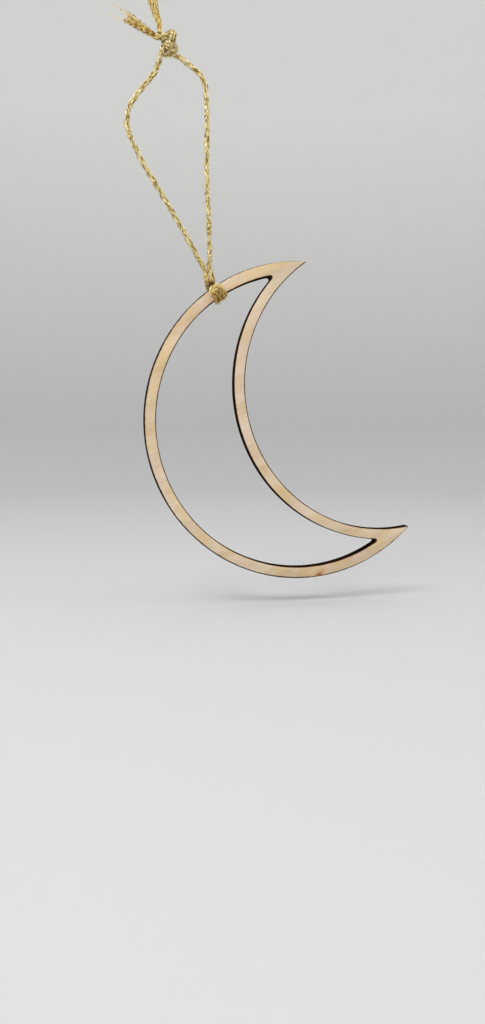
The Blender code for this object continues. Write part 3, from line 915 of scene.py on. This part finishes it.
def roundCorner(opening, hand, recess, depth):
    # One sharp corner of the opening's cutter, cut off square and given a round end
    turn = sheet["cornerRadius"]
    sharp, centre = openingCorner(recess)
    out = (sharp - centre).normalized()
    away = (centre - Vector((sheet["hollowOffset"], 0.0))).normalized()
    reach = plies["cornerReach"]
    middle = centre + out * (reach - turn * out.dot(away))
    bpy.ops.object.select_all(action="DESELECT")
    bpy.ops.mesh.primitive_cube_add(
        size=1.0, location=(middle.x * mm, 0.0, middle.y * hand * mm),
        rotation=(0.0, -hand * atan2(out.y, out.x), 0.0),
    )
    block = bpy.context.object
    block.scale = (reach * 2 * mm, depth * 2 * mm, reach * 2 * mm)
    bpy.ops.object.transform_apply(location=True, rotation=True, scale=True)
    combine(opening, block, "DIFFERENCE")
    roundEnd = addDisc("roundEnd", turn, (centre.x, centre.y * hand), depth, plies["cornerPoints"])
    combine(opening, roundEnd, "UNION")


def openingCutter(depth, recess):
    # The space inside both bands, with its two corners rounded as the laser turned
    radius, hollowRadius = openingRadii(recess)
    opening = addDisc("openingCutter", radius, (0.0, 0.0), depth, plies["arcPoints"])
    hollow = addDisc(
        "bandCutter", hollowRadius, (sheet["hollowOffset"], 0.0), depth * 2, plies["arcPoints"],
    )
    combine(opening, hollow, "DIFFERENCE")
    for hand in (1, -1):
        roundCorner(opening, hand, recess, depth)
    return opening


def tipCutter(depth):
    # Cuts both points off where the pale face's own points end, so that they are blunt as the laser turned
    tip = crossing(sheet["outerRadius"], sheet["hollowRadius"]).x + plies["tipLip"]
    reach = sheet["outerRadius"]
    bpy.ops.object.select_all(action="DESELECT")
    bpy.ops.mesh.primitive_cube_add(size=1.0, location=((tip + reach) * mm, 0.0, 0.0))
    block = bpy.context.object
    block.scale = (reach * 2 * mm, depth * mm, reach * 4 * mm)
    bpy.ops.object.transform_apply(location=True, rotation=True, scale=True)
    return block


def moonPly(name, front, back, isCore):
    depth = back - front
    recess = (plies["coreRecess"] if isCore else 0.0) - plies["lip"]
    surfaces = (coreEdge, coreEdge) if isCore else (veneerFace, veneerEdge)
    points = plies["arcPoints"]
    piece = addDisc(name, sheet["outerRadius"] - recess, (0.0, 0.0), depth, points)
    hollow = addDisc(
        "hollowCutter", sheet["hollowRadius"] + recess, (sheet["hollowOffset"], 0.0), depth * 2, points,
    )
    combine(piece, hollow, "DIFFERENCE")
    combine(piece, openingCutter(depth * 2, recess), "DIFFERENCE")
    combine(piece, tipCutter(depth * 2), "DIFFERENCE")

    bpy.ops.object.select_all(action="DESELECT")
    piece.select_set(True)
    bpy.context.view_layer.objects.active = piece
    if not isCore:
        softened = piece.modifiers.new("softened", "BEVEL")
        softened.width = plies["edgeBreak"] * mm
        softened.segments = plies["breakSteps"]
        softened.limit_method = "ANGLE"
        softened.angle_limit = radians(plies["breakAngle"])
        bpy.ops.object.modifier_apply(modifier="softened")
    bpy.ops.object.shade_smooth_by_angle(angle=radians(plies["smoothAngle"]))
    for surface in surfaces:
        piece.data.materials.append(surface)
    for polygon in piece.data.polygons:
        polygon.material_index = 0 if abs(polygon.normal.y) > plies["faceNormal"] else 1
    piece.rotation_euler = (0.0, moonTilt, 0.0)
    piece.location = moonCentre + Vector((0.0, (front + back) / 2, 0.0)) * mm
    bpy.ops.object.transform_apply(location=True, rotation=True, scale=True)
    return piece


coreDepth = sheet["core"] / 2
plyRows = [
    ("front_birch_ply", "front_veneer", "birch_veneer", -faceDepth, -coreDepth),
    ("charred_core_ply", "core_ply", "core_wood", -coreDepth, coreDepth),
    ("back_birch_ply", "back_veneer", "birch_veneer", coreDepth, faceDepth),
]
for name, node, slot, front, back in plyRows:
    piece = moonPly(name, front, back, isCore=slot == "core_wood")
    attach(piece, "moon")
    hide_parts(node)
print("Plywood moon cut")


# Floor and backdrop: a wide pale bowl, flat under the moon and curving up all round. The ornament leans
# by "tilt" against the photograph's level floor, because its cord hangs over a support
bowl = {
    "under": (5.0, 0.0, -154.2), "tilt": 12.66, "flat": 260.0, "curve": 420.0, "wall": 300.0, "steps": 14,
    "points": 96,
}
bowlPlace = Vector(bowl["under"]) * mm
bowlTurn = Matrix.Rotation(radians(bowl["tilt"]), 3, "Y")


def seamlessBowl():
    bpy.ops.object.select_all(action="DESELECT")
    bpy.ops.mesh.primitive_circle_add(vertices=bowl["points"], radius=bowl["flat"] * mm, fill_type="NGON")
    floor = bpy.context.object
    floor.name = "seamlessBowl"
    bpy.ops.object.mode_set(mode="EDIT")
    bpy.ops.mesh.select_mode(type="EDGE")
    rises = [radians(90.0 * (i + 1) / bowl["steps"]) for i in range(bowl["steps"])]
    rings = [(bowl["flat"] + bowl["curve"] * sin(a), bowl["curve"] * (1 - cos(a))) for a in rises]
    rings.append((rings[-1][0], rings[-1][1] + bowl["wall"]))
    radius, height = bowl["flat"], 0.0
    bpy.ops.mesh.select_all(action="SELECT")
    for nextRadius, nextHeight in rings:
        grow, rise = nextRadius / radius, (nextHeight - height) * mm
        bpy.ops.mesh.extrude_edges_move(TRANSFORM_OT_translate={"value": (0.0, 0.0, rise)})
        bpy.ops.transform.resize(value=(grow, grow, 1.0), center_override=(0.0, 0.0, 0.0))
        radius, height = nextRadius, nextHeight
    bpy.ops.mesh.select_all(action="SELECT")
    bpy.ops.mesh.normals_make_consistent(inside=True)
    bpy.ops.object.mode_set(mode="OBJECT")
    bpy.ops.object.shade_smooth()
    floor.matrix_world = Matrix.Translation(bowlPlace) @ bowlTurn.to_4x4()
    bpy.ops.object.transform_apply(location=True, rotation=True, scale=True)
    return floor


# Matt painted board: pale on the floor, greyer at the wall's foot and paler again up the wall. The floor and
# wall differ as two boards would, and the grey at the wall's foot and the paling up the wall are painted
# shade and painted light
board = {
    "floor": "D9D9DA", "foot": "CECECF", "wall": "C6C6C7", "top": "F0F0EE", "roughness": 0.9,
    "specular": 0.2, "footHeight": 10.0, "wallHeight": 60.0, "topHeight": 400.0,
}


def paintedBoard():
    made, tree, shader = newMaterial("mattPaintedBoard")
    place = addNode(tree, "ShaderNodeTexCoord")
    above = addNode(
        tree, "ShaderNodeVectorMath", {1: bowlPlace}, {0: place.outputs["Object"]}, operation="SUBTRACT",
    )
    up = bowlTurn @ Vector((0.0, 0.0, 1.0))
    height = addNode(tree, "ShaderNodeVectorMath", {1: up}, {0: above}, operation="DOT_PRODUCT")
    share = addNode(
        tree, "ShaderNodeMapRange", {"From Max": board["topHeight"] * mm},
        {"Value": height.outputs["Value"]},
    )
    colour = addNode(tree, "ShaderNodeValToRGB", links={0: share})
    stops = [(0.0, board["floor"])]
    stops += [(board[name + "Height"] / board["topHeight"], board[name]) for name in ("foot", "wall", "top")]
    setRamp(colour, stops)
    tree.links.new(colour.outputs["Color"], shader.inputs["Base Color"])
    shader.inputs["Roughness"].default_value = board["roughness"]
    shader.inputs["Specular IOR Level"].default_value = board["specular"]
    return made


floor = seamlessBowl()
floor.data.materials.append(paintedBoard())
print("Backdrop set")


# Light: a soft window high on the left in front, a weaker one on the right, and an even sky
lamps = [
    {"name": "windowLeft", "place": (-150.0, -260.0, 310.0), "size": 220.0, "power": 1.0},
    {"name": "windowRight", "place": (380.0, -240.0, 160.0), "size": 320.0, "power": 0.33},
]
lampAim = (0.0, 0.0, -80.0)  # the middle of the ornament
sky = {"colour": "FFFFFF", "strength": 0.82}


def addLamp(settings):
    bpy.ops.object.light_add(type="AREA", location=[v * mm for v in settings["place"]])
    lamp = bpy.context.object
    lamp.name = settings["name"]
    lamp.data.shape = "SQUARE"
    lamp.data.size = settings["size"] * mm
    lamp.data.energy = settings["power"]
    aim = Vector(lampAim) * mm - lamp.location
    lamp.rotation_euler = aim.to_track_quat("-Z", "Y").to_euler()


for settings in lamps:
    addLamp(settings)

world = bpy.data.worlds.new("evenSky")
bpy.context.scene.world = world
world.use_nodes = True
background = world.node_tree.nodes["Background"]
background.inputs["Color"].default_value = hexColour(sky["colour"])
background.inputs["Strength"].default_value = sky["strength"]
print("Lights set")
